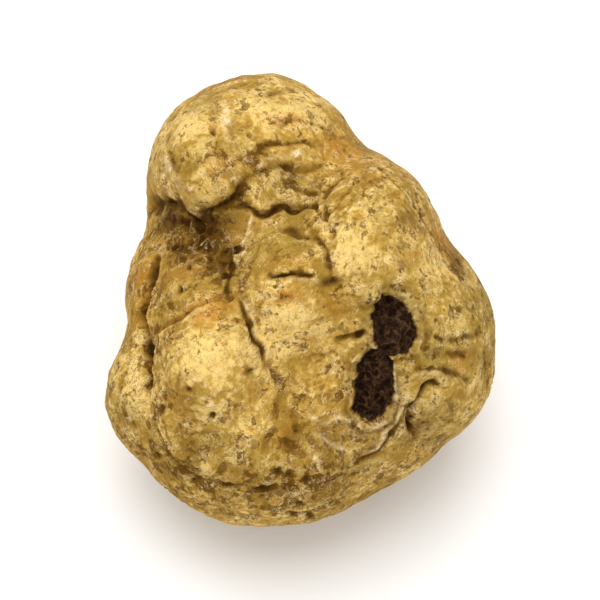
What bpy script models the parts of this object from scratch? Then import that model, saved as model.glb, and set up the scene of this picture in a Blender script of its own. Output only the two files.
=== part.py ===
"""A whole white truffle, as dug and brushed clean: one lumpy solid at its real size.

The truffle grew as one piece, so it is one object. It starts as a cube cut into small
squares. Each corner of a square is pushed out from the middle until it meets the skin of a
group of rounded lobes that run into each other. The folds and the two torn pits are then
pressed into that skin, and the belly is sliced flat where the truffle rests.

The shape is sketched in the face frame, which is how the truffle is best seen, from the
front and well above: across runs to the right, up runs up the face, and out comes straight
out of it. The face leans back from the upright by FACE_TILT, and the row frame then has +Z
up, -Y to the front and its origin under the middle of the box, on the resting plane.
"""

import math

import bmesh
import bpy
import numpy as np

# Driving dimensions, in metres
WIDTH = 0.0430  # left to right, along X
DEPTH = 0.0490  # front to rear, along Y
HEIGHT = 0.0372  # above the resting plane, along Z

# The sketch below is in millimetres, and is fitted to the driving dimensions at the end
BELLY_SLICE = 1.4  # how much of the rounded belly the flat resting spot takes off
FACE_TILT = math.radians(65)
SQUARES = 28  # along each side of the starting cube
LOBE_BLEND = 0.9  # how softly one lobe runs into the next
NEAREST_SKIN = 3.0  # the skin is never closer to the middle than this
FARTHEST_SKIN = 40.0  # nor farther than this
HALVINGS = 20  # steps of the search for the skin, each halving what is left

# Rounded lobes: centre (across, up, out) and the three radii along the same directions
LOBES = {
    "crown": ((-5.0, 12.5, -2.0), (12.0, 12.5, 13.0)),
    "crown_left": ((-9.5, 13.5, 2.0), (6.5, 8.0, 10.5)),
    "right_shoulder": ((6.0, 5.0, 2.5), (9.3, 11.0, 14.5)),
    "right_flank": ((9.5, -4.5, 0.0), (11.8, 12.3, 15.5)),
    "right_foot": ((5.5, -11.5, -1.0), (11.0, 9.5, 13.5)),
    "right_knob": ((15.0, -9.6, 1.0), (4.8, 4.8, 9.0)),
    "middle": ((-1.0, 1.0, 3.0), (8.0, 9.0, 13.3)),
    "left_side": ((-7.3, 0.5, -1.0), (12.1, 11.5, 14.0)),
    "left_cheek": ((-9.6, -6.6, 4.0), (7.6, 8.6, 13.5)),
    "left_ear": ((-17.3, -10.6, 0.0), (4.2, 6.2, 8.5)),
    "chin": ((-5.0, -10.0, 0.0), (15.0, 15.0, 13.5)),
    "chin_front": ((-2.0, -16.0, 1.0), (11.0, 8.5, 12.0)),
    "back": ((0.5, 2.5, -6.0), (13.5, 15.0, 11.5)),
    "rear_left": ((-7.5, 9.0, -6.0), (8.5, 9.5, 9.0)),
    "rear_right": ((6.0, 7.0, -5.5), (8.5, 9.0, 9.5)),
    "belly": ((-0.5, -5.5, -10.0), (9.5, 9.5, 9.5)),
    "belly_left": ((-6.0, -4.5, -7.8), (11.5, 12.5, 10.8)),
    "belly_right": ((6.5, -4.5, -8.3), (10.5, 11.0, 10.8)),
}

# Folds between lobes, wide enough for this mesh: side of the face sketched on (1 the face,
# -1 the back), depth, half width, and the points (across, up) that the fold runs through
FOLDS = {
    "collar": (1, 1.9, 1.1, ((-18.0, 9.9), (-14.6, 9.2), (-11.6, 7.7), (-8.6, 8.6), (-6.0, 11.2),
                             (-4.8, 14.4), (-2.4, 16.3), (1.0, 16.4))),
    "ear_fold": (1, 3.0, 0.9, ((-17.0, 4.0), (-17.6, -1.5), (-17.1, -6.0), (-17.6, -12.0))),
    "shoulder_fold": (1, 1.0, 0.9, ((4.2, 14.6), (1.5, 10.8), (2.4, 7.0), (2.2, 4.4), (3.2, 1.8))),
    "knob_fold": (1, 1.6, 0.8, ((15.4, -8.2), (12.2, -10.6), (11.0, -12.8), (12.8, -15.6))),
    "rear_fold": (-1, 1.8, 1.0, ((-16.0, 4.0), (-9.0, 4.5), (-4.0, 2.5), (1.0, 3.5), (6.0, 1.0),
                                 (12.0, 2.0))),
    "rear_seam": (-1, 1.5, 0.9, ((0.0, 3.0), (-1.5, 8.0), (0.5, 13.0), (-1.5, 18.0))),
}
CURVE_STEPS = 6  # points computed on each stretch of a fold
FOLD_ROUND = 0.15  # radius of the bottom of a fold
FOLD_TAPER = 5.0  # a fold fades in and out over one fifth of its length

# Torn pits that bare the dark flesh: centre (across, up), radii, turn in degrees and depth
PITS = {
    "upper_pit": ((10.3, -3.0), (2.3, 3.2), 12, 1.7),
    "lower_pit": ((7.8, -9.4), (2.1, 3.9), -6, 1.7),
}
PIT_WALL = (0.55, 1.3)  # where the wall starts and ends, as shares of the pit's radii

RELAX_ROUNDS = 3  # passes that even out the squares after the folds are pressed
RELAX_SHARE = 0.5  # how far each corner moves towards its neighbours in one pass

MM = 0.001
SKIN_COLOUR = (0.486, 0.299, 0.086, 1.0)
SKIN_ROUGHNESS = 0.62
FLAT_SNAP = 0.05  # corners this close to the slice are moved on to it, in millimetres


def clear_scene():
    """Remove whatever the file opened with."""
    for thing in list(bpy.data.objects):
        bpy.data.objects.remove(thing)


def inside_lobes(points):
    """Which points are inside the lobes, as one smoothly joined body.

    Each lobe gives the distance from its ellipsoid, and the distances are joined by a soft
    minimum, so that a valley between two lobes is rounded by about LOBE_BLEND.
    """
    nearness = np.zeros(len(points))
    for centre, radii in LOBES.values():
        scaled = (points - centre) / radii
        reach = np.linalg.norm(scaled, axis=1)
        slope = np.linalg.norm(scaled / radii, axis=1)
        distance = reach * (reach - 1) / np.maximum(slope, 1e-9)
        nearness += np.exp(-distance / LOBE_BLEND)
    return nearness > 1


def skin_along(origins, rays):
    """Where each ray from its origin leaves the lobes, found by halving."""
    low = np.full(len(rays), NEAREST_SKIN)
    high = np.full(len(rays), FARTHEST_SKIN)
    for _ in range(HALVINGS):
        middle = (low + high) / 2
        inside = inside_lobes(origins + rays * middle[:, None])
        low = np.where(inside, middle, low)
        high = np.where(inside, high, middle)
    return origins + rays * high[:, None]


def fold_line(sketch, side):
    """A smooth curve through the sketched points, laid on the skin from one side."""
    knots = np.array(sketch)
    knots = np.vstack([2 * knots[0] - knots[1], knots, 2 * knots[-1] - knots[-2]])
    t = np.linspace(0, 1, CURVE_STEPS, endpoint=False)[:, None]
    stretches = []
    for a, b, c, d in zip(knots[:-3], knots[1:-2], knots[2:-1], knots[3:]):
        bend = (2 * a - 5 * b + 4 * c - d) * t**2 + (3 * b - a - 3 * c + d) * t**3
        stretches.append((2 * b + (c - a) * t + bend) / 2)
    flat = np.vstack([*stretches, knots[-2:-1]])
    origins = np.column_stack([flat, np.zeros(len(flat))])
    rays = np.tile((0.0, 0.0, float(side)), (len(flat), 1))
    return skin_along(origins, rays)


def press_fold(points, line, depth, half_width):
    """How deep a fold presses each point in: a V with a rounded bottom that fades at its ends."""
    nearest = np.full(len(points), np.inf)
    place = np.zeros(len(points))
    lengths = np.linalg.norm(np.diff(line, axis=0), axis=1)
    starts = np.concatenate([[0.0], np.cumsum(lengths)])
    for start, end, length, run in zip(line[:-1], line[1:], lengths, starts):
        along = np.clip((points - start) @ (end - start) / length**2, 0, 1)
        away = np.linalg.norm(points - start - along[:, None] * (end - start), axis=1)
        place = np.where(away < nearest, (run + along * length) / starts[-1], place)
        nearest = np.minimum(away, nearest)
    fade = np.clip(np.minimum(place, 1 - place) * FOLD_TAPER, 0, 1)
    slope = np.hypot(nearest, FOLD_ROUND) - FOLD_ROUND
    return depth * fade * np.exp(-slope / half_width)


def press_pit(points, centre, radii, turn, depth):
    """How deep a pit presses each point in: a flat floor with a steep wall round it."""
    angle = math.radians(turn)
    offset = points[:, :2] - centre
    along = offset[:, 0] * math.cos(angle) + offset[:, 1] * math.sin(angle)
    across = offset[:, 1] * math.cos(angle) - offset[:, 0] * math.sin(angle)
    share = np.hypot(along / radii[0], across / radii[1])
    wall = np.clip((share - PIT_WALL[0]) / (PIT_WALL[1] - PIT_WALL[0]), 0, 1)
    floor = 1 - wall * wall * (3 - 2 * wall)
    return depth * floor * (points[:, 2] > 0)


def shaped(points):
    """The corners of the cut-up cube moved to the truffle's skin, in the face frame."""
    evened = np.tan(points * math.pi / 4)
    rays = evened / np.linalg.norm(evened, axis=1, keepdims=True)
    skin = skin_along(np.zeros(3), rays)
    depth = np.zeros(len(skin))
    for side, fold_depth, half_width, sketch in FOLDS.values():
        depth += press_fold(skin, fold_line(sketch, side), fold_depth, half_width)
    for pit in PITS.values():
        depth += press_pit(skin, *pit)
    return skin - rays * depth[:, None]


def upright(points):
    """The face frame turned to the row frame, with +Z up and -Y to the front."""
    across, up, out = points.T
    sine, cosine = math.sin(FACE_TILT), math.cos(FACE_TILT)
    return np.column_stack([across, up * sine - out * cosine, up * cosine + out * sine])


def move_corners(shape, places):
    """Put the corners of the mesh at these places."""
    for corner, place in zip(shape.verts, places):
        corner.co = place


def corners_of(shape):
    """The places of the mesh's corners, as one array."""
    return np.array([corner.co[:] for corner in shape.verts])


def relax(shape):
    """Even out the squares that the folds have stretched, and round their sharpest edges."""
    for _ in range(RELAX_ROUNDS):
        bmesh.ops.smooth_vert(
            shape,
            verts=shape.verts[:],
            factor=RELAX_SHARE,
            use_axis_x=True,
            use_axis_y=True,
            use_axis_z=True,
        )


def slice_belly(shape):
    """Cut the underside off level and close it with one flat face."""
    level = corners_of(shape)[:, 2].min() + BELLY_SLICE
    everything = shape.verts[:] + shape.edges[:] + shape.faces[:]
    cut = bmesh.ops.bisect_plane(
        shape,
        geom=everything,
        dist=FLAT_SNAP,
        use_snap_center=True,
        plane_co=(0, 0, level),
        plane_no=(0, 0, -1),
        clear_outer=True,
    )
    rim = [part for part in cut["geom_cut"] if isinstance(part, bmesh.types.BMEdge)]
    bmesh.ops.edgeloop_fill(shape, edges=rim)


def fit_to_size(shape):
    """Stretch the shape to the driving dimensions, standing on Z = 0 and centred above it."""
    places = corners_of(shape)
    low, high = places.min(axis=0), places.max(axis=0)
    size = np.array([WIDTH, DEPTH, HEIGHT])
    foot = np.array([(low[0] + high[0]) / 2, (low[1] + high[1]) / 2, low[2]])
    move_corners(shape, (places - foot) * size / (high - low))


def skin_material():
    """Matt, leathery, cream-brown skin."""
    material = bpy.data.materials.new("truffle_skin")
    material.use_nodes = True
    surface = material.node_tree.nodes["Principled BSDF"]
    surface.inputs["Base Color"].default_value = SKIN_COLOUR
    surface.inputs["Roughness"].default_value = SKIN_ROUGHNESS
    surface.inputs["Metallic"].default_value = 0.0
    return material


def make_truffle():
    """The one solid, from a cube to the finished lump."""
    shape = bmesh.new()
    bmesh.ops.create_cube(shape, size=2.0)
    bmesh.ops.subdivide_edges(shape, edges=shape.edges[:], cuts=SQUARES - 1, use_grid_fill=True)
    move_corners(shape, upright(shaped(corners_of(shape))))
    relax(shape)
    slice_belly(shape)
    fit_to_size(shape)
    bmesh.ops.recalc_face_normals(shape, faces=shape.faces[:])
    mesh = bpy.data.meshes.new("truffle")
    shape.to_mesh(mesh)
    shape.free()
    mesh.shade_smooth()
    mesh.materials.append(skin_material())
    truffle = bpy.data.objects.new("truffle", mesh)
    bpy.context.scene.collection.objects.link(truffle)
    return truffle


clear_scene()
make_truffle()
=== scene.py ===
import math
from itertools import product

import bpy
import numpy as np
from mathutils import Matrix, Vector


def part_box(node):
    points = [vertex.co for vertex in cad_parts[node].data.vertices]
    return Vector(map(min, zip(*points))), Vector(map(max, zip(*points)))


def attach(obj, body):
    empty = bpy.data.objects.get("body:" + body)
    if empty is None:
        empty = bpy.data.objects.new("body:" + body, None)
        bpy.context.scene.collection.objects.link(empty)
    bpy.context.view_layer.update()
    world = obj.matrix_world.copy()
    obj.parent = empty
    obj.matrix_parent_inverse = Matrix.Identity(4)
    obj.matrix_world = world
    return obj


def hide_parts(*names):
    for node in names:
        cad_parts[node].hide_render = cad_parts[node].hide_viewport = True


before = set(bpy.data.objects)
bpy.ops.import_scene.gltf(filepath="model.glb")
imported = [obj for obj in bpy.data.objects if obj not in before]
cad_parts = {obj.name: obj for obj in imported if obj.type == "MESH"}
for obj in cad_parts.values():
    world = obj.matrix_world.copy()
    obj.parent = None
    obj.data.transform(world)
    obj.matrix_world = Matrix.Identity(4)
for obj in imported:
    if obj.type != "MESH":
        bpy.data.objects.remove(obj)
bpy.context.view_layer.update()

# The truffle is sketched in millimetres as it is best seen, from the front and well above:
# across goes right, up goes up the face, and out comes straight out of it. The face leans
# back, and the frame has +Z up and -Y to the front.
faceTilt = math.radians(65)

body = {
    "squares": 128,          # along each side of the starting cube
    "blend": 0.9,            # how softly one lobe runs into the next
    "nearest": 3.0,          # the skin is between these two distances from the middle
    "farthest": 40.0,
    "halvings": 18,          # steps of the search for the skin
    "flatSlice": 1.4,        # how much of the belly the resting spot takes off
    "flatEdge": 0.35,        # the radius of that spot's soft edge
    "broadDrift": (3.0, 0.55),   # how lines and outlines wander: the size along the skin, how far
    "fineDrift": (1.1, 0.18),
    # rounded lobes: centre (across, up, out) and radii
    "lobes": {
        "crown": ((-5.0, 12.5, -2.0), (12.0, 12.5, 13.0)),
        "crownLeft": ((-9.5, 13.5, 2.0), (6.5, 8.0, 10.5)),
        "rightShoulder": ((6.0, 5.0, 2.5), (9.3, 11.0, 14.5)),
        "rightFlank": ((9.5, -4.5, 0.0), (11.8, 12.3, 15.5)),
        "rightFoot": ((5.5, -11.5, -1.0), (11.0, 9.5, 13.5)),
        "rightKnob": ((15.0, -9.6, 1.0), (4.8, 4.8, 9.0)),
        "middle": ((-1.0, 1.0, 3.0), (8.0, 9.0, 13.3)),
        "leftSide": ((-7.3, 0.5, -1.0), (12.1, 11.5, 14.0)),
        "leftCheek": ((-9.6, -6.6, 4.0), (7.6, 8.6, 13.5)),
        "leftEar": ((-17.3, -10.6, 0.0), (4.2, 6.2, 8.5)),
        "chin": ((-5.0, -10.0, 0.0), (15.0, 15.0, 13.5)),
        "chinFront": ((-2.0, -16.0, 1.0), (11.0, 8.5, 12.0)),
        "back": ((0.5, 2.5, -6.0), (13.5, 15.0, 11.5)),
        "rearLeft": ((-7.5, 9.0, -6.0), (8.5, 9.5, 9.0)),
        "rearRight": ((6.0, 7.0, -5.5), (8.5, 9.0, 9.5)),
        "belly": ((-0.5, -5.5, -10.0), (9.5, 9.5, 9.5)),
        "bellyLeft": ((-6.0, -4.5, -7.8), (11.5, 12.5, 10.8)),
        "bellyRight": ((6.5, -4.5, -8.3), (10.5, 11.0, 10.8)),
    },
}

# folds and cracks: side of the sketch (1 the face, -1 the back), depth, half width, how far the
# lip beside it stands up, how dark it is painted (brown skin and painted shade in the fold), how rusty it
# is, and its points (across, up)
folds = {
    "collarLeft": (1, 2.0, 1.0, 0.2, 0.85, 0.2,
                   [(-18.2, 10.2), (-16.0, 10.2), (-14.4, 10.0), (-12.8, 8.4), (-11.4, 8.0), (-10.0, 9.2)]),
    "collarRight": (1, 1.4, 0.7, 0.2, 0.9, 0.2,
                    [(-12.6, 8.2), (-9.8, 9.4), (-7.4, 10.5), (-6.2, 12.2), (-4.9, 13.6)]),
    "collarEnd": (1, 0.6, 0.4, 0.3, 0.7, 0.4,
                  [(-5.6, 13.0), (-3.9, 14.3), (-2.2, 14.3), (0.0, 13.9), (2.4, 14.6)]),
    "collarUpper": (1, 0.5, 0.4, 0.25, 0.5, 0.4, [(-5.6, 13.8), (-4.6, 16.2), (-3.2, 17.0), (2.4, 16.8)]),
    "underCollar": (1, 0.6, 0.35, 0.25, 1.0, 0.2,
                    [(-8.4, 9.2), (-5.8, 9.9), (-4.4, 9.0), (-2.6, 10.2), (-1.2, 9.6), (0.2, 10.6)]),
    "hollowCrack": (1, 0.8, 0.32, 0.2, 1.7, 0.2,
                    [(-5.6, 6.0), (-7.0, 5.9), (-7.9, 4.8), (-8.0, 2.4), (-8.1, -0.6)]),
    "domeCrease": (1, 0.5, 0.28, 0.1, 1.4, 0.2,
                   [(-3.9, 3.2), (-2.4, 2.8), (-1.0, 2.8), (0.2, 2.6), (1.2, 2.9)]),
    "domeRing": (1, 0.5, 0.45, 0.2, 0.45, 0.0,
                 [(-5.4, 4.2), (-4.9, 6.4), (-2.4, 7.6), (0.2, 6.9), (1.9, 5.6), (2.5, 3.6), (3.2, 1.6)]),
    "domeInner": (1, 0.2, 0.3, 0.1, 0.15, 0.3, [(-3.4, 4.6), (-2.2, 5.8), (-0.2, 5.9), (0.8, 4.6)]),
    "domeSide": (1, 0.9, 1.0, 0.2, 0.15, 0.0, [(4.2, 14.6), (2.0, 10.8), (3.0, 7.0), (2.8, 4.4)]),
    "streakLow": (1, 0.45, 0.35, 0.2, 0.7, 0.1, [(-5.0, 9.8), (-3.0, 9.6), (-1.0, 10.4), (1.6, 9.8)]),
    "streakHigh": (1, 0.35, 0.3, 0.15, 0.4, 0.1, [(-3.6, 12.2), (-1.0, 12.6), (1.6, 11.8)]),
    "crownBand": (1, 0.22, 0.8, 0.1, 0.12, 0.4, [(-9.4, 22.2), (-9.8, 19.4), (-8.8, 16.4), (-9.2, 13.0)]),
    "crownEdge": (1, 0.25, 0.35, 0.1, 0.3, 0.6, [(-14.4, 18.8), (-14.8, 16.6), (-13.8, 14.4)]),
    "crownStreak": (1, 0.35, 0.35, 0.15, 0.35, 0.5, [(-3.6, 18.2), (-0.4, 19.4), (3.0, 18.8)]),
    "earFold": (1, 2.8, 0.8, 0.2, 1.5, 0.9,
                [(-16.6, 5.0), (-17.2, 1.6), (-17.9, -1.6), (-17.2, -4.6), (-16.9, -7.6), (-17.2, -10.6)]),
    "cheekTop": (1, 0.8, 0.6, 0.2, 0.3, 1.0,
                 [(-16.4, -3.6), (-14.4, -2.4), (-11.6, -0.6), (-9.3, 0.2), (-6.8, 0.0)]),
    "cheekCrack": (1, 0.5, 0.3, 0.2, 0.75, 0.2, [(-7.0, 0.2), (-5.6, -2.6), (-4.6, -5.2), (-4.3, -7.0)]),
    "cheekSide": (1, 0.8, 1.0, 0.2, 0.2, 0.1, [(-4.4, -6.0), (-2.4, -9.6), (-2.6, -13.4), (-5.0, -16.4)]),
    "knobFold": (1, 1.4, 0.5, 0.3, 1.0, 0.2,
                 [(15.4, -9.4), (13.4, -9.6), (11.8, -11.2), (11.0, -12.8), (12.4, -15.4)]),
    "footFold": (1, 0.8, 0.6, 0.3, 0.45, 0.0, [(5.2, -18.4), (8.2, -16.4), (11.0, -12.8)]),
    "toPit": (1, 0.5, 0.28, 0.25, 1.3, 0.0, [(7.4, -4.0), (6.4, -3.2), (5.2, -3.9), (3.4, -4.9)]),
    "flankRayHigh": (1, 0.3, 0.45, 0.15, 0.45, 0.3, [(12.6, -4.0), (16.0, -4.4), (19.4, -3.6)]),
    "flankRayMid": (1, 0.3, 0.45, 0.15, 0.5, 0.5, [(13.2, -5.8), (16.4, -6.2), (19.6, -6.0)]),
    "flankRayLow": (1, 0.4, 0.45, 0.15, 0.5, 0.3, [(12.0, -7.6), (15.4, -7.8), (18.6, -8.8)]),
    "shoulderLine": (1, 0.3, 0.35, 0.15, 0.35, 0.3, [(7.4, 14.8), (11.4, 11.0), (14.4, 6.6), (16.6, 2.6)]),
    "bandLine": (1, 0.5, 0.5, 0.2, 0.5, 0.1, [(-17.4, -15.0), (-12.4, -18.8), (-6.0, -20.6), (1.0, -20.2)]),
    "rearFold": (-1, 1.8, 1.0, 0.3, 0.8, 0.3,
                 [(-16.0, 4.0), (-9.0, 4.5), (-4.0, 2.5), (1.0, 3.5), (6.0, 1.0), (12.0, 2.0)]),
    "rearSeam": (-1, 1.5, 0.9, 0.3, 0.6, 0.3, [(0.0, 3.0), (-1.5, 8.0), (0.5, 13.0), (-1.5, 18.0)]),
    "rearCrack": (-1, 0.9, 0.5, 0.2, 0.7, 0.3, [(6.0, 1.5), (8.5, 6.0), (7.5, 11.0)]),
    "rearLine": (-1, 0.6, 0.5, 0.2, 0.5, 0.3, [(-14.0, -4.0), (-9.0, -8.0), (-3.0, -9.0), (4.0, -13.0)]),
}

# thin raised lines of paler skin: side, height, half width, how pale, points
webs = {
    "pitWeb": (1, 0.4, 0.24, 1.0,
               [(6.4, -3.6), (7.6, -4.8), (9.2, -6.2), (9.9, -8.8), (9.6, -11.6), (8.0, -13.8),
                (6.0, -13.8), (4.9, -12.2)]),
    "pitWebLow": (1, 0.17, 0.22, 1.0, [(11.4, -9.0), (10.2, -12.0), (8.8, -14.6), (6.6, -17.2)]),
    "pitWebFar": (1, 0.17, 0.22, 0.9, [(12.0, -10.0), (11.0, -12.6), (9.6, -15.0)]),
    "footWeb": (1, 0.15, 0.25, 0.8, [(9.0, -14.6), (7.4, -16.6), (5.6, -18.2)]),
    "knobWeb": (1, 0.1, 0.3, 0.4, [(11.6, -8.6), (12.8, -8.4), (15.0, -8.0)]),
    "cheekWeb": (1, 0.15, 0.25, 0.5,
                 [(-6.4, 0.6), (-5.0, -2.6), (-3.9, -5.6), (-3.4, -8.4), (-3.6, -11.0)]),
    "domeWeb": (1, 0.10, 0.3, 0.5, [(-3.8, 2.2), (-1.8, 2.6), (0.4, 2.1), (2.0, 1.6)]),
    "netHigh": (1, 0.2, 0.25, 0.6, [(0.4, -12.0), (2.4, -13.4), (4.4, -13.0), (5.4, -14.6)]),
    "netLow": (1, 0.2, 0.25, 0.6, [(1.2, -14.6), (3.2, -15.2), (4.6, -16.6)]),
    "toCrown": (1, 0.2, 0.22, 0.7, [(-5.3, 10.4), (-5.6, 8.2), (-6.2, 6.6), (-7.4, 5.8), (-7.2, 3.6)]),
    "crownLip": (1, 0.2, 0.3, 0.7, [(-5.0, 13.2), (-4.4, 14.9), (-2.4, 15.6), (0.4, 15.5)]),
    "crownShine": (1, 0.2, 0.5, 0.8, [(-8.0, 22.0), (-8.2, 19.8), (-7.8, 18.2)]),
    "tongueShine": (1, 0.1, 0.6, 0.6, [(-15.2, 15.8), (-14.2, 13.4), (-12.8, 11.4)]),
}

# soft hollows: side, centre, radii, turn in degrees, depth
dips = {
    "brownHollow": (1, (-11.2, 5.4), (4.8, 3.4), -20, 1.1),
    "belowDome": (1, (3.0, 1.2), (1.6, 1.2), 0, 0.5),
    "beforePits": (1, (3.6, -8.0), (3.0, 4.0), 10, 0.5),
    "chinDip": (1, (-1.0, -15.6), (2.6, 1.8), 15, 0.6),
    "crownDip": (1, (-6.8, 15.0), (2.4, 3.4), -25, 0.5),
    "rearDip": (-1, (7.0, -6.0), (4.0, 3.0), 30, 0.7),
}

# torn pits down to the dark flesh: side, centre, radii, turn in degrees, squareness, depth
pits = {
    "upperPit": (1, (9.9, -2.8), (2.5, 3.3), 12, 2.8, 2.0),
    "lowerPit": (1, (7.5, -9.4), (2.3, 4.0), -6, 2.3, 2.0),
    "rearPit": (-1, (-8.5, 1.5), (1.6, 1.2), 20, 2.2, 1.3),
}


# Vectors divided by their lengths
def unit(v):
    return v / (np.linalg.norm(v, axis=-1, keepdims=True) + 1e-12)


# 0 below a, 1 above b, and 3t^2 - 2t^3 between
def smooth(a, b, x):
    t = np.clip((x - a) / (b - a), 0, 1)
    return t * t * (3 - 2 * t)


# Six square grids of two parameters, s and t from -45 to 45 degrees: the point
# (1, tan s, tan t) and its five turns, scaled to length 1, with the shared edges merged
def cubeRays(squares):
    a = np.tan(np.linspace(-math.pi / 4, math.pi / 4, squares + 1))
    s, t = np.meshgrid(a, a, indexing="ij")
    one = np.ones_like(s)
    sheets = []
    for turn in range(3):
        sheets.append(np.roll(np.stack([one, s, t], -1), turn, -1))
        sheets.append(np.roll(np.stack([-one, t, s], -1), turn, -1))
    rays = unit(np.stack(sheets).reshape(-1, 3))
    index = np.arange(6 * (squares + 1) ** 2).reshape(6, squares + 1, squares + 1)
    quads = np.stack([index[:, :-1, :-1], index[:, 1:, :-1], index[:, 1:, 1:], index[:, :-1, 1:]], -1)
    _, first, merged = np.unique(np.round(rays, 7), axis=0, return_index=True, return_inverse=True)
    return rays[first], merged.reshape(-1)[quads.reshape(-1, 4)]


# Inside where the sum over lobes of exp(-distance / blend) is over 1, which is a soft minimum
# of the distances; an ellipsoid's distance is k (k - 1) / m, with k = |p / r|, m = |p / r^2|
def insideLobes(points):
    total = np.zeros(len(points))
    for centre, radii in body["lobes"].values():
        p = (points - centre) / radii
        k = np.linalg.norm(p, axis=1)
        m = np.linalg.norm(p / radii, axis=1) + 1e-9
        total += np.exp(-np.clip(k * (k - 1) / m / body["blend"], -60, 60))
    return total > 1


# The place where each ray leaves the lobes, by halving the stretch that holds it
def skinAlong(origins, rays, nearest):
    low = np.full(len(rays), nearest)
    high = np.full(len(rays), body["farthest"])
    for _ in range(body["halvings"]):
        middle = (low + high) / 2
        inside = insideLobes(origins + rays * middle[:, None])
        low, high = np.where(inside, middle, low), np.where(inside, high, middle)
    return origins + rays * high[:, None]


# Each corner's normal is the sum of the cross products of its squares' diagonals
def normalsOf(points, quads):
    corner = points[quads]
    face = np.cross(corner[:, 2] - corner[:, 0], corner[:, 3] - corner[:, 1])
    total = np.zeros_like(points)
    for k, axis in product(range(4), range(3)):
        total[:, axis] += np.bincount(quads[:, k], face[:, axis], len(points))
    return unit(total)


# A corner's value moved to the mean of its neighbours along the edges, several times over
def evened(values, quads, rounds):
    start, end = quads.reshape(-1), np.roll(quads, -1, axis=1).reshape(-1)
    count = np.bincount(start, minlength=len(values)) + np.bincount(end, minlength=len(values))
    for _ in range(rounds):
        columns = []
        for column in values.reshape(len(values), -1).T:
            total = np.bincount(start, column[end], len(values))
            total += np.bincount(end, column[start], len(values))
            columns.append(total / count)
        values = np.stack(columns, -1).reshape(values.shape)
    return values


hashOrder = np.random.default_rng(7).permutation(256)
slopes = unit(np.random.default_rng(8).normal(size=(256, 3)))


# Gradient noise: in each unit cell, the corners' random slopes, blended by 6t^5 - 15t^4 + 10t^3
def noise(points, seed=0):
    p = points + seed * 17.31
    cell = np.floor(p).astype(int)
    f = p - cell
    fade = f**3 * (f * (f * 6 - 15) + 10)
    total = np.zeros(len(points))
    for corner in product((0, 1), repeat=3):
        c = (cell + corner) & 255
        mixed = hashOrder[(hashOrder[(hashOrder[c[:, 0]] + c[:, 1]) & 255] + c[:, 2]) & 255]
        weight = np.prod(np.where(np.array(corner) == 1, fade, 1 - fade), axis=1)
        total += weight * np.einsum("ij,ij->i", slopes[mixed], f - corner)
    return total * 1.6


# Noise at doubling scales, each weaker than the last by the factor rough
def fractal(points, octaves=4, rough=0.5, seed=0):
    total, size, whole = 0, 1, 0
    for k in range(octaves):
        total = total + size * noise(points * 2**k, seed + k * 3.7)
        whole += size
        size *= rough
    return total / whole


# A Catmull-Rom curve through the sketched points, laid on the skin from one side
def foldLine(sketch, side, steps=8):
    p = np.array(sketch, float)
    p = np.vstack([2 * p[0] - p[1], p, 2 * p[-1] - p[-2]])
    t = np.linspace(0, 1, steps, endpoint=False)[:, None]
    parts = []
    for a, b, c, d in zip(p[:-3], p[1:-2], p[2:-1], p[3:]):
        parts.append((2*b + (c - a)*t + (2*a - 5*b + 4*c - d)*t**2 + (3*b - a - 3*c + d)*t**3) / 2)
    flat = np.vstack([*parts, p[-2:-1]])
    rays = np.tile([0.0, 0.0, float(side)], (len(flat), 1))
    return skinAlong(np.column_stack([flat, np.zeros(len(flat))]), rays, 0.0)


# For the points near a line: which they are, the distance, the share of the line's length
# there, the offset from the line, and the line's direction
def alongLine(points, line, reach):
    near = np.flatnonzero(np.all((points > line.min(0) - reach) & (points < line.max(0) + reach), axis=1))
    points = points[near]
    nearest, place = np.full(len(points), 1e9), np.zeros(len(points))
    offset, direction = np.zeros_like(points), np.zeros_like(points)
    lengths = np.linalg.norm(np.diff(line, axis=0), axis=1)
    starts = np.concatenate([[0.0], np.cumsum(lengths)])
    for a, b, length, run in zip(line[:-1], line[1:], lengths, starts):
        t = np.clip((points - a) @ (b - a) / (length**2 + 1e-12), 0, 1)
        away = points - a - t[:, None] * (b - a)
        distance = np.linalg.norm(away, axis=1)
        closer = distance < nearest
        nearest = np.where(closer, distance, nearest)
        place = np.where(closer, (run + t * length) / starts[-1], place)
        offset = np.where(closer[:, None], away, offset)
        direction = np.where(closer[:, None], (b - a) / length, direction)
    return near, nearest, place, offset, direction


everywhere = slice(None)


# The paint is raised to the values where they are greater
def raiseTo(paint, name, near, values):
    paint[name][near] = np.maximum(paint[name][near], values)


# how folds and webs are drawn
lines = {
    "fade": 5,               # 1 / the share of its length over which an end fades
    "bottom": 0.15,          # the radius of a fold's bottom
    "lipPlace": 1.3,         # how far out a fold's lip is, in half widths
    "draw": 0.35,            # how much the skin beside a fold is drawn towards it
    "ink": 1.3,              # how much darker a fold is painted than its own number says
}


# A line is whole in the middle and fades over both ends
def fadingEnds(place):
    return np.clip(np.minimum(place, 1 - place) * lines["fade"], 0, 1) ** 0.7
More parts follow.
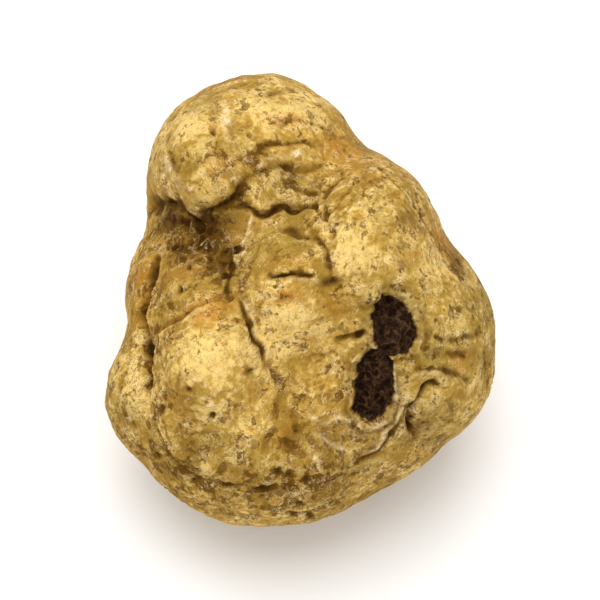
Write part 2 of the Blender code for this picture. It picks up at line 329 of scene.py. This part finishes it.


# Each fold is pressed in by depth * exp(-distance / half width), fading over its ends and here
# and there between; beside it a lip stands up, and the skin on both sides is drawn towards it.
# Its bottom is painted dark, partly brown skin and partly painted shade in the crease, and a wider strip of
# it rusty
def pressFolds(where, normal, paint):
    move = np.zeros_like(where)
    for number, (side, depth, half, lip, dark, rust, sketch) in enumerate(folds.values()):
        line = foldLine(sketch, side)
        near, distance, place, offset, direction = alongLine(where, line, 5 * half + 1)
        out = normal[near]
        broken = smooth(-0.45, 0.35, noise(where[near] / 1.9, 70 + number))
        taper = fadingEnds(place) * (0.65 + 0.35 * broken)
        groove = np.exp(-(np.hypot(distance, lines["bottom"]) - lines["bottom"]) / half)
        across = np.einsum("ij,ij->i", offset, np.cross(direction, out))
        ridge = np.exp(-((across - lines["lipPlace"] * half) / half) ** 2)
        ridge = ridge * np.exp(-(distance / (3 * half)) ** 2)
        flat = offset - out * np.einsum("ij,ij->i", offset, out)[:, None]
        draw = lines["draw"] * np.exp(-(distance / (2.2 * half)) ** 2) * taper
        move[near] += out * ((lip * ridge - depth * groove) * taper)[:, None] - flat * draw[:, None]
        # the fold's bottom: its brown and painted shade in the crease together
        core = np.exp(-(distance / (0.8 * half + 0.15)) ** 2) * taper * (0.3 + 0.7 * broken)
        raiseTo(paint, "dark", near, lines["ink"] * dark * core)
        raiseTo(paint, "rust", near, rust * np.exp(-(distance / (1.6 * half)) ** 2) * taper)
    return move


# A web is raised by height * exp(-(distance / half width)^2), fading over its ends
def raiseWebs(where, normal, paint):
    move = np.zeros_like(where)
    for number, (side, height, half, pale, sketch) in enumerate(webs.values()):
        near, distance, place, _, _ = alongLine(where, foldLine(sketch, side), 4 * half + 1)
        broken = smooth(-0.4, 0.3, noise(where[near] / 1.5, 110 + number))
        taper = fadingEnds(place) * (0.5 + 0.5 * broken)
        hump = np.exp(-(distance / half) ** 2) * taper
        move[near] += normal[near] * (height * hump)[:, None]
        raiseTo(paint, "pale", near, pale * hump)
    return move


# How far off a centre along two turned axes, as shares of the radii; the skin on the other
# side counts as 9 radii farther, so that nothing reaches it
def sharesOf(where, side, centre, radii, turn):
    c, s = math.cos(math.radians(turn)), math.sin(math.radians(turn))
    x, y = where[:, 0] - centre[0], where[:, 1] - centre[1]
    hidden = 9 * (where[:, 2] * side < 1)
    return np.abs(x * c + y * s) / radii[0] + hidden, np.abs(y * c - x * s) / radii[1] + hidden


# A dip is pressed in by depth * exp(-share^2), with the share of its radii off the centre
def pressDips(where, normal):
    depths = np.zeros(len(where))
    for side, centre, radii, turn, depth in dips.values():
        depths += depth * np.exp(-np.hypot(*sharesOf(where, side, centre, radii, turn)) ** 2)
    return normal * -depths[:, None]


# A pit's share is (x^n + y^n)^(1/n) in its own turned axes: 1 on its outline. The floor is
# lumpy, the wall steep, a thin lip stands round it, and a ragged dark halo outside that
def pressPits(points, where, normal, paint):
    move = np.zeros_like(where)
    for side, centre, radii, turn, square, depth in pits.values():
        x, y = sharesOf(where, side, centre, radii, turn)
        share = (x**square + y**square) ** (1 / square) + 0.12 * noise(points / 0.9, 51)
        floor = 1 - smooth(0.84, 1.06, share)
        lip = np.exp(-((share - 1.10) / 0.08) ** 2)
        lumps = 0.7 * fractal(points / 0.9, 3, 0.6, 61)
        move += normal * (-floor * (depth + lumps) + 0.10 * lip)[:, None]
        ragged = smooth(-0.3, 0.4, noise(points / 1.4, 53))
        halo = np.exp(-((share - 1.2) / 0.22) ** 2) * (1 - 0.6 * ragged)
        raiseTo(paint, "pit", everywhere, 1 - smooth(0.90, 1.04, share))
        raiseTo(paint, "pale", everywhere, 0.35 * lip * ragged)
        raiseTo(paint, "dark", everywhere, 0.42 * halo)
    return move


# blots of each kind of paint: side, centre, radii, turn in degrees, strength
blots = {
    "rust": [
        (1, (-1.6, 19.4), (3.4, 1.0), 0, 0.8),
        (1, (4.4, 16.4), (4.0, 2.6), -40, 0.6),
        (1, (-9.3, -1.2), (3.6, 1.5), 20, 0.9),
        (1, (-17.6, 1.0), (1.6, 5.0), 0, 0.8),
        (1, (-1.7, 0.4), (1.5, 1.1), 0, 0.9),
        (1, (0.6, -4.4), (1.2, 0.7), 0, 0.8),
        (1, (3.0, -1.4), (3.4, 1.0), -32, 0.5),
        (1, (-11.8, 3.6), (2.6, 1.6), 0, 0.6),
        (1, (15.4, 5.8), (1.0, 3.2), 25, 0.8),
        (1, (17.2, -6.4), (2.2, 1.0), 0, 0.7),
        (1, (-1.4, -14.6), (1.8, 1.6), 0, 0.5),
        (1, (-13.6, -11.0), (2.0, 1.4), 0, 0.5),
        (1, (-9.0, 14.4), (2.4, 3.4), 0, 0.6),
        (-1, (-3.0, -6.0), (4.0, 2.0), 30, 0.7),
    ],
    # dark blots: brown stains, and painted shade under the crown's overhang round the brown hollow and at
    # the upper pit's top-left
    "dark": [
        (1, (16.7, 4.2), (0.6, 2.4), 25, 0.5),
        (1, (11.0, 8.8), (1.7, 1.1), 20, 0.4),
        (1, (3.0, 1.8), (0.75, 0.6), 20, 1.0),
        (1, (-1.7, 0.3), (0.8, 0.45), 0, 0.35),
        (1, (-3.3, 22.6), (0.9, 0.3), 10, 0.5),
        (1, (-1.0, -15.2), (1.4, 1.1), 20, 0.45),
        (1, (-12.0, -19.0), (5.0, 1.2), -24, 0.3),
        (1, (-10.6, 7.4), (3.0, 1.8), 20, 0.85),
        (1, (-13.2, 6.0), (1.6, 1.4), 0, 0.55),
        (1, (9.4, -14.2), (2.6, 0.9), 55, 0.4),
        (1, (3.6, -19.0), (3.0, 1.4), 20, 0.3),
        (1, (-7.6, 10.2), (1.6, 1.0), 40, 0.5),
        (1, (-9.4, 4.6), (1.6, 2.2), 0, 0.45),
        (1, (-14.8, 8.6), (1.8, 1.3), 0, 0.75),
        (1, (4.9, -8.6), (1.0, 2.2), 0, 0.35),
        (1, (9.6, 1.0), (3.0, 0.7), 0, 0.25),
        (1, (7.0, -1.0), (1.6, 0.5), -30, 0.3),
        (1, (12.6, -14.0), (2.2, 1.2), 40, 0.4),
    ],
    "olive": [
        (1, (15.5, -3.0), (6.5, 7.5), 0, 1.0),
        (1, (13.5, -12.5), (4.5, 3.0), 30, 0.9),
        (1, (-10.0, 14.5), (3.0, 5.0), 10, 0.5),
        (1, (-11.4, 9.6), (2.4, 1.6), 0, 1.0),
        # painted shade in olive at the upper pit's top-left
        (1, (7.4, 1.2), (4.0, 1.6), -20, 0.7),
        (1, (-1.6, -9.6), (1.2, 4.0), 0, 0.3),
        (-1, (4.0, 8.0), (7.0, 6.0), 0, 0.7),
    ],
    "net": [
        (1, (-11.0, 6.6), (4.6, 3.6), -20, 0.9),
        (1, (5.0, -14.4), (3.4, 2.6), 20, 0.5),
        (1, (-4.0, -19.6), (8.0, 2.4), 0, 0.3),
        (1, (12.0, -12.6), (1.6, 2.4), -20, 0.7),
        (1, (-0.4, 12.0), (3.4, 2.4), 0, 0.35),
        (-1, (-9.0, 3.0), (4.0, 3.0), 20, 0.6),
        (-1, (6.0, -9.0), (4.0, 3.0), 0, 0.4),
    ],
    "rough": [
        (-1, (-5.0, 6.0), (7.0, 4.0), 20, 0.7),
        (-1, (8.0, -8.0), (6.0, 5.0), 0, 0.7),
        (1, (-11.4, 5.2), (5.0, 3.4), -20, 1.0),
        (1, (-3.0, -20.6), (13.0, 4.4), 0, 1.0),
        (1, (-17.0, -2.0), (2.6, 8.0), 0, 0.8),
        (1, (4.4, -14.6), (3.6, 2.6), 20, 0.8),
        (1, (0.0, 13.0), (4.0, 3.0), 0, 0.5),
    ],
    # painted light: lighter patches laid where the lamp falls on the tops of the lobes
    "paintedLight": [
        (-1, (-9.0, -4.0), (5.0, 4.0), 0, 0.6),
        (-1, (4.0, 2.0), (4.0, 3.0), 0, 0.5),
        (1, (5.6, 5.0), (2.6, 3.0), 30, 0.9),
        (1, (9.6, 7.4), (2.0, 1.6), 0, 0.5),
        (1, (-9.0, -6.8), (4.6, 5.0), 20, 0.9),
        (1, (-12.4, 18.6), (2.4, 2.8), 20, 0.8),
        (1, (-11.4, 12.0), (2.2, 2.6), 0, 0.5),
        (1, (-0.6, -1.8), (3.6, 2.4), 0, 0.8),
        (1, (2.0, -7.4), (3.4, 3.0), 0, 0.6),
        (1, (-3.4, 20.8), (4.4, 2.4), 0, 0.5),
        (1, (14.0, -0.6), (2.4, 1.6), 20, 0.5),
        (1, (14.4, 3.4), (2.4, 4.0), 25, 0.9),
        (1, (-3.2, -4.4), (2.6, 3.4), 0, 1.0),
        (1, (3.0, -3.6), (2.8, 2.6), 0, 0.8),
        (1, (-9.0, -11.6), (5.0, 2.6), 0, 0.6),
        (1, (10.0, 10.2), (2.0, 2.4), 30, 0.6),
        (1, (-3.0, 11.6), (3.6, 1.6), 0, 0.5),
    ],
}

# single dark pin holes: across, up and radius
pinDepth = 0.45
pinHoles = [
    (-13.5, 8.1, 0.5), (-9.9, 7.9, 0.55), (-10.1, 6.0, 0.4), (-9.1, 5.5, 0.5), (-8.6, 4.5, 0.45),
    (-8.6, 2.9, 0.4), (-14.6, 6.1, 0.45), (-12.6, 3.9, 0.3), (-13.4, 1.0, 0.4), (-2.8, -18.6, 0.6),
    (-1.4, -19.0, 0.4), (0.4, -19.6, 0.55), (-0.6, -22.3, 0.45), (-1.1, -23.6, 0.4), (-4.4, -21.0, 0.35),
    (0.8, -23.8, 0.4), (-15.8, -17.2, 0.5), (-15.2, -11.8, 0.35), (-12.1, -9.6, 0.35),
    (-9.8, -12.4, 0.3), (-5.8, -7.6, 0.3), (11.4, -11.6, 0.6), (11.6, -12.8, 0.45), (-9.8, 18.4, 0.3),
    (-0.3, -13.9, 0.35),
]


# A blot is strength * exp(-share^2), with the share of its radii off the centre
def paintBlots(where, paint):
    for kind, patches in blots.items():
        for side, centre, radii, turn, strength in patches:
            far = np.hypot(*sharesOf(where, side, centre, radii, turn))
            raiseTo(paint, kind, everywhere, strength * np.exp(-far**2))


# A pin hole is pressed in by pinDepth * exp(-share^2), and painted dark a little narrower
def pressPinHoles(where, normal, paint):
    depth = np.zeros(len(where))
    for across, up, radius in pinHoles:
        far = np.hypot(*sharesOf(where, 1, (across, up), (radius, radius), 0))
        depth += pinDepth * np.exp(-far**2)
        raiseTo(paint, "dark", everywhere, 0.9 * np.exp(-(far / 0.9) ** 2))
    return normal * -depth[:, None]


# A network of thin lines where a noise crosses zero: exp(-(noise / width)^2)
def veins(points, size, width, seed):
    bend = np.stack([noise(points / (1.6 * size), seed + k) for k in (1, 2, 3)], 1) * 0.5 * size
    return np.exp(-(fractal((points + bend) / size, 3, 0.55, seed) / width) ** 2)


# the relief's sizes along the skin, and how high, deep or wide each part of it is
relief = {
    "zone": 7.0,                  # patches with more furrows and fewer
    "calmShare": 0.65,            # how much a patch of painted light evens out the furrows
    "lumps": (6.0, 0.5),
    "wideVeins": (3.4, 0.09),
    "thinVeins": (1.5, 0.12),
    "wideFurrow": 0.16,
    "thinFurrow": 0.07,
    "crust": (1.3, 0.8),
    "grain": (0.8, 0.05),
}


# The skin's own relief: broad lumps, two nets of furrows that come and go, a coarse crust
# where it is rough, and a fine grain all over
def addRelief(points, quads, paint):
    normal = normalsOf(points, quads)
    calm = 1 - relief["calmShare"] * np.clip(paint["paintedLight"], 0, 1)
    zone = smooth(-0.3, 0.4, noise(points / relief["zone"], 21)) * calm
    wide, thin = veins(points, *relief["wideVeins"], 31), veins(points, *relief["thinVeins"], 35)
    paint["vein"] = np.clip(wide * (0.25 + 0.75 * zone) + thin * 0.6 * (0.2 + 0.8 * zone) * calm, 0, 1)
    size, height = relief["lumps"]
    lumps = height * fractal(points / size, 3, 0.5, 11)
    furrows = -relief["wideFurrow"] * wide * (0.2 + 0.8 * zone)
    furrows = furrows - relief["thinFurrow"] * thin * (0.25 + 0.75 * zone)
    size, height = relief["crust"]
    crust = -np.abs(fractal(points / size, 3, 0.6, 45)) * height * paint["rough"]
    size, height = relief["grain"]
    grain = fractal(points / size, 2, 0.6, 41) * height
    return points + normal * (lumps + furrows + crust + grain)[:, None]


# The face leans back by faceTilt: up and out are turned about the across axis
def upright(points):
    across, up, out = points.T
    s, c = math.sin(faceTilt), math.cos(faceTilt)
    return np.stack([across, up * s - out * c, up * c + out * s], 1)


# Everything below the resting level is pressed up to it, with a soft edge: less than the
# edge's radius from the level, the height becomes (height + edge)^2 / (4 edge)
def standLevel(points):
    edge = body["flatEdge"]
    level = points[:, 2].min() + body["flatSlice"]
    height = points[:, 2] - level
    soft = np.where(height > edge, height, np.where(height < -edge, 0, (height + edge) ** 2 / (4 * edge)))
    return np.column_stack([points[:, :2], soft])


# Each axis is moved and stretched so that the points reach from low to high
def fitToBox(points, low, high):
    mine = points.min(0), points.max(0)
    return low + (points - mine[0]) * (high - low) / (mine[1] - mine[0])


# Three noises make a vector that wanders with the place
def wander(points, size, strength, seeds):
    return np.stack([noise(points / size, seed) for seed in seeds], 1) * strength


# How far each corner lies below its evened-out surroundings, broadly and closely, as a
# share from -1 to 1; the skin material uses it to paint shade in the sunken parts and light on the raised
# ones
def sunkness(points, quads):
    out = normalsOf(points, quads)
    broadly = np.einsum("ij,ij->i", evened(points, quads, 40) - points, out)
    closely = np.einsum("ij,ij->i", evened(points, quads, 4) - points, out)
    return np.clip(broadly / 0.5, -1, 1) * 0.6 + np.clip(closely / 0.08, -1, 1) * 0.4


def makeTruffle():
    rays, quads = cubeRays(body["squares"])
    skin = skinAlong(np.zeros(3), rays, body["nearest"])
    normal = normalsOf(skin, quads)
    paint = {name: np.zeros(len(skin)) for name in
             ("dark", "rust", "pale", "pit", "olive", "rough", "paintedLight", "vein", "net")}
    print("truffle: lobes", len(skin), "corners")

    broad = wander(skin, *body["broadDrift"], (1, 2, 3))
    fine = wander(skin, *body["fineDrift"], (4, 5, 6))
    drift = broad + fine              # lines and outlines wander along the skin with this
    where = skin + drift - normal * np.einsum("ij,ij->i", drift, normal)[:, None]
    paintBlots(where, paint)
    move = pressFolds(where, normal, paint) + raiseWebs(where, normal, paint)
    move += pressDips(where, normal) + pressPits(skin, where, normal, paint)
    move += pressPinHoles(skin + fine * 2, normal, paint)
    print("truffle: folds, pits and pin holes")

    points = addRelief(skin + move, quads, paint)
    paint["sunk"] = sunkness(points, quads)
    low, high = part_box("truffle")
    places = fitToBox(standLevel(upright(points)), np.array(low), np.array(high))
    print("truffle: relief, flat spot and size")

    mesh = bpy.data.meshes.new("truffle_skin")
    mesh.from_pydata(places.tolist(), [], quads.tolist())
    mesh.shade_smooth()
    for name, values in paint.items():
        layer = mesh.attributes.new(name, "FLOAT", "POINT")
        layer.data.foreach_set("value", values.astype(np.float32))
    piece = bpy.data.objects.new("truffle_skin", mesh)
    bpy.context.scene.collection.objects.link(piece)
    return piece


class Wire:
    # a node's socket that Python's own signs work on: each sign adds one Math node
    def __init__(self, tree, socket=None):
        self.tree, self.socket = tree, socket

    # the one way in for every other node: its kind, its settings, then its sockets
    def node(self, kind, settings=None, inputs=None, output=0):
        made = self.tree.nodes.new(kind)
        for name, value in (settings or {}).items():
            setattr(made, name, value)
        for name, value in (inputs or {}).items():
            if isinstance(value, Wire):
                self.tree.links.new(value.socket, made.inputs[name])
            else:
                made.inputs[name].default_value = value
        return Wire(self.tree, made.outputs[output])

    def maths(self, operation, first, second):
        return self.node("ShaderNodeMath", {"operation": operation}, {0: first, 1: second})

    def __add__(self, other):
        return self.maths("ADD", self, other)

    def __radd__(self, other):
        return self.maths("ADD", other, self)

    def __sub__(self, other):
        return self.maths("SUBTRACT", self, other)

    def __rsub__(self, other):
        return self.maths("SUBTRACT", other, self)

    def __mul__(self, other):
        return self.maths("MULTIPLY", self, other)

    def __rmul__(self, other):
        return self.maths("MULTIPLY", other, self)

    def size(self):
        return self.maths("ABSOLUTE", self, 0.0)

    def between(self, low, high):
        return self.node("ShaderNodeMapRange", {"interpolation_type": "SMOOTHSTEP"},
                         {"Value": self, "From Min": low, "From Max": high})

    def mixed(self, first, second):
        inputs = {0: self, 6: first, 7: second}
        return self.node("ShaderNodeMix", {"data_type": "RGBA"}, inputs, 2)


looks = {                        # linear colours
    "gold": (0.52, 0.312, 0.060, 1),
    "lightGold": (0.84, 0.585, 0.190, 1),
    "cream": (0.88, 0.69, 0.39, 1),
    "ochre": (0.36, 0.200, 0.030, 1),
    "brown": (0.165, 0.078, 0.008, 1),
    "umber": (0.045, 0.017, 0.002, 1),
    "rust": (0.47, 0.180, 0.014, 1),
    "olive": (0.27, 0.205, 0.038, 1),
    "flesh": (0.014, 0.006, 0.003, 1),
    "fleshLight": (0.16, 0.080, 0.035, 1),
}

# the skin's mottles: size in metres, detail, roughness, distortion, seed
mottles = {
    "wash": (0.0085, 3, 0.5, 0.5, 1.0),
    "patch": (0.0034, 5, 0.62, 0.8, 2.0),
    "blotch": (0.0017, 4, 0.6, 0.6, 3.0),
    "grain": (0.0007, 3, 0.6, 0.0, 4.0),
    "warm": (0.0040, 4, 0.6, 0.6, 5.0),
    "green": (0.0060, 4, 0.55, 0.4, 6.0),
    "fleck": (0.0011, 4, 0.7, 0.5, 7.0),
    "streak": (0.0019, 3, 0.55, 2.2, 9.0),
    "torn": (0.0009, 4, 0.7, 0.8, 8.0),
}

netCell, poreCell = 0.0013, 0.0011      # metres from one cell to the next
netBend = 0.0022                        # how far the net's lines wander
matt = {"roughness": 0.62, "specular": 0.04, "bump": 0.5, "bumpHeight": 0.0004}


# Gold skin in light and dark patches, lighter where light is painted on the lit lobes and darker where
# shade is painted in hollows and folds, with olive and rusty washes, brown specks and wrinkles, umber in
# folds, holes and pores, cream on webs and flecks, and dark flesh in the pits
def truffleSkinMaterial():
    material = bpy.data.materials.new("truffle_skin")
    material.use_nodes = True
    tree = material.node_tree
    shader = tree.nodes["Principled BSDF"]
    start = Wire(tree)
    place = start.node("ShaderNodeTexCoord", output=3)

    def mask(name):
        return start.node("ShaderNodeAttribute", {"attribute_name": name}, output=2)

    def mottling(name):
        cell, detail, roughness, distortion, seed = mottles[name]
        inputs = {"Vector": place, "W": seed, "Scale": 1 / cell, "Detail": detail,
                  "Roughness": roughness, "Distortion": distortion}
        return start.node("ShaderNodeTexNoise", {"noise_dimensions": "4D"}, inputs)

    wash, patch, blotch, grain = (mottling(name) for name in ("wash", "patch", "blotch", "grain"))
    warm, green, fleck, streak = (mottling(name) for name in ("warm", "green", "fleck", "streak"))
    wrinkle = 1 - (streak - 0.5).size().between(0.0, 0.028)
    wrinkleEdge = 1 - (streak - 0.555).size().between(0.0, 0.028)
    bend = start.node("ShaderNodeTexNoise", {}, {"Vector": place, "Scale": 600.0, "Detail": 3}, 1)
    bent = start.node("ShaderNodeVectorMath", {"operation": "MULTIPLY_ADD"},
                      {0: bend, 1: (netBend, netBend, netBend), 2: place})
    net = start.node("ShaderNodeTexVoronoi", {"feature": "DISTANCE_TO_EDGE"},
                     {"Vector": bent, "Scale": 1 / netCell})
    cells, walls = net.between(0.10, 0.34), 1 - net.between(0.0, 0.16)
    pores = start.node("ShaderNodeTexVoronoi", {}, {"Vector": place, "Scale": 1 / poreCell})
    poreShade = 1 - pores.between(0.05, 0.22)

    dark, rough, pit, sunk = mask("dark"), mask("rough"), mask("pit"), mask("sunk")
    # the first mask is painted light: it lifts the skin towards light gold where the lamp falls on the
    # lobes
    paintedLight, pale, vein, netted = mask("paintedLight"), mask("pale"), mask("vein"), mask("net")
    level = (patch - 0.5) * 1.9 + (wash - 0.5) * 0.9 + (grain - 0.5) * 1.4 + (blotch - 0.5) * 1.1
    # painted shade and painted light: the skin is darker where it is sunk and lighter where it stands up
    level = level + paintedLight * 0.34 - sunk * 0.28

    colour = level.between(-0.28, 0.06).mixed(looks["ochre"], looks["gold"])
    colour = (level.between(0.02, 0.34) * 0.9).mixed(colour, looks["lightGold"])
    washed = (green.between(0.46, 0.64) * 0.5 + mask("olive") * 0.5) * (0.7 - paintedLight * 0.5)
    colour = washed.mixed(colour, looks["olive"])
    rusty = warm.between(0.56, 0.70) * 0.45 + mask("rust") * (0.35 + blotch)
    colour = (rusty * 0.95).between(0.05, 1.1).mixed(colour, looks["rust"])
    speckle = blotch + (grain - 0.5) * 0.8 + rough * 0.08 + sunk * 0.05 - paintedLight * 0.05
    speckle = speckle.between(0.53, 0.63)
    # more painted shade: browner where the skin is sunk
    browned = speckle * 0.68 + vein * 0.40 + rough * 0.14 + sunk.between(0.25, 0.9) * 0.45 + dark * 0.8
    browned = browned + netted * 0.22
    browned = browned + wrinkle * (0.55 - paintedLight * 0.25) * patch.between(0.36, 0.60)
    colour = browned.mixed(colour, looks["brown"])
    chance = patch.between(0.48, 0.62)
    holed = cells * netted * (blotch.between(0.42, 0.58) * 0.8 + dark * 0.5)
    darkened = dark * (0.85 + (grain - 0.5) * 2.4) + poreShade * (chance * 0.6 + rough * 0.2) + holed
    colour = darkened.mixed(colour, looks["umber"])
    scuffed = pale * (0.15 + fleck.between(0.35, 0.62) * 0.75) - dark * 0.35
    # painted shade as well: fewer cream flecks where the skin is sunk
    scuffed = scuffed + fleck.between(0.57, 0.70) * (0.42 - sunk * 0.4)
    scuffed = scuffed + wrinkleEdge * patch.between(0.40, 0.60) * (0.5 - dark * 0.5)
    scuffed = scuffed + walls * netted * grain.between(0.40, 0.60) * 0.5
    colour = scuffed.mixed(colour, looks["cream"])
    torn = mottling("torn")
    threads = torn.between(0.45, 0.70) * 0.30 + walls * grain.between(0.35, 0.6) * 0.45
    flesh = threads.mixed(looks["flesh"], looks["fleshLight"])
    colour = pit.between(0.3, 0.7).mixed(colour, flesh)

    tree.links.new(colour.socket, shader.inputs["Base Color"])
    roughness = matt["roughness"] + (grain - 0.5) * 0.2 + rough * 0.15 + pit * 0.2 - paintedLight * 0.08
    tree.links.new(roughness.socket, shader.inputs["Roughness"])
    shader.inputs["Specular IOR Level"].default_value = matt["specular"]
    height = grain * 0.7 + blotch * 0.5 + patch * 0.4 - wrinkle * 0.25 + wrinkleEdge * 0.15
    height = height - poreShade * (0.1 + chance * 0.4) + torn * pit * 0.8
    height = height + fleck * 0.4 + walls * (pit * 0.8 + netted * 0.4) - holed * 0.6
    settings = {"Height": height, "Strength": matt["bump"], "Distance": matt["bumpHeight"]}
    bump = start.node("ShaderNodeBump", {}, settings)
    tree.links.new(bump.socket, shader.inputs["Normal"])
    return material


def plainMaterial(name, colour, roughness):
    material = bpy.data.materials.new(name)
    material.use_nodes = True
    shader = material.node_tree.nodes["Principled BSDF"]
    shader.inputs["Base Color"].default_value = (*colour, 1)
    shader.inputs["Roughness"].default_value = roughness
    return material


floorLook = {"half": 3.0, "white": (0.93, 0.93, 0.93), "roughness": 0.9}


def makeFloor():
    half = floorLook["half"]
    corners = [(-half, -half, 0), (half, -half, 0), (half, half, 0), (-half, half, 0)]
    mesh = bpy.data.meshes.new("floor")
    mesh.from_pydata(corners, [], [(0, 1, 2, 3)])
    mesh.materials.append(plainMaterial("floor_white", floorLook["white"], floorLook["roughness"]))
    floor = bpy.data.objects.new("floor", mesh)
    bpy.context.scene.collection.objects.link(floor)


worldStrength = 0.68

# area lights that look at the truffle: place in metres, side of the square, watts, colour
lamps = {
    "key": ((-0.04, 0.20, 0.80), 0.80, 6.2, (1.0, 0.99, 0.97)),
    "front": ((-0.10, -0.65, 0.55), 0.70, 1.2, (1.0, 0.99, 0.97)),
}


def makeLights(target):
    for name, (place, size, watts, colour) in lamps.items():
        light = bpy.data.lights.new(name, "AREA")
        light.size, light.energy, light.color = size, watts, colour
        lamp = bpy.data.objects.new(name, light)
        lamp.location = place
        lamp.rotation_euler = (target - Vector(place)).to_track_quat("-Z", "Y").to_euler()
        bpy.context.scene.collection.objects.link(lamp)
    world = bpy.data.worlds.new("studio")
    world.use_nodes = True
    world.node_tree.nodes["Background"].inputs["Color"].default_value = (1.0, 1.0, 1.0, 1)
    world.node_tree.nodes["Background"].inputs["Strength"].default_value = worldStrength
    bpy.context.scene.world = world
    bpy.context.scene.view_settings.view_transform = "Standard"


# The camera stands well above the front, and looks down at the truffle
def makeCamera(target):
    shot = {"distance": 0.45, "elevation": math.radians(65), "fills": 0.066}
    lens = bpy.data.cameras.new("camera")
    lens.lens = lens.sensor_width * shot["distance"] / shot["fills"]
    camera = bpy.data.objects.new("camera", lens)
    back = Vector((0, -math.cos(shot["elevation"]), math.sin(shot["elevation"])))
    camera.location = target + back * shot["distance"]
    camera.rotation_euler = (-back).to_track_quat("-Z", "Y").to_euler()
    bpy.context.scene.collection.objects.link(camera)
    bpy.context.scene.camera = camera


truffle = makeTruffle()
truffle.data.materials.append(truffleSkinMaterial())
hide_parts("truffle")
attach(truffle, "root")
print("skin: material")

low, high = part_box("truffle")
middle = (low + high) / 2
makeFloor()
makeLights(middle)
makeCamera(middle)
print("stage: floor, lights and camera")
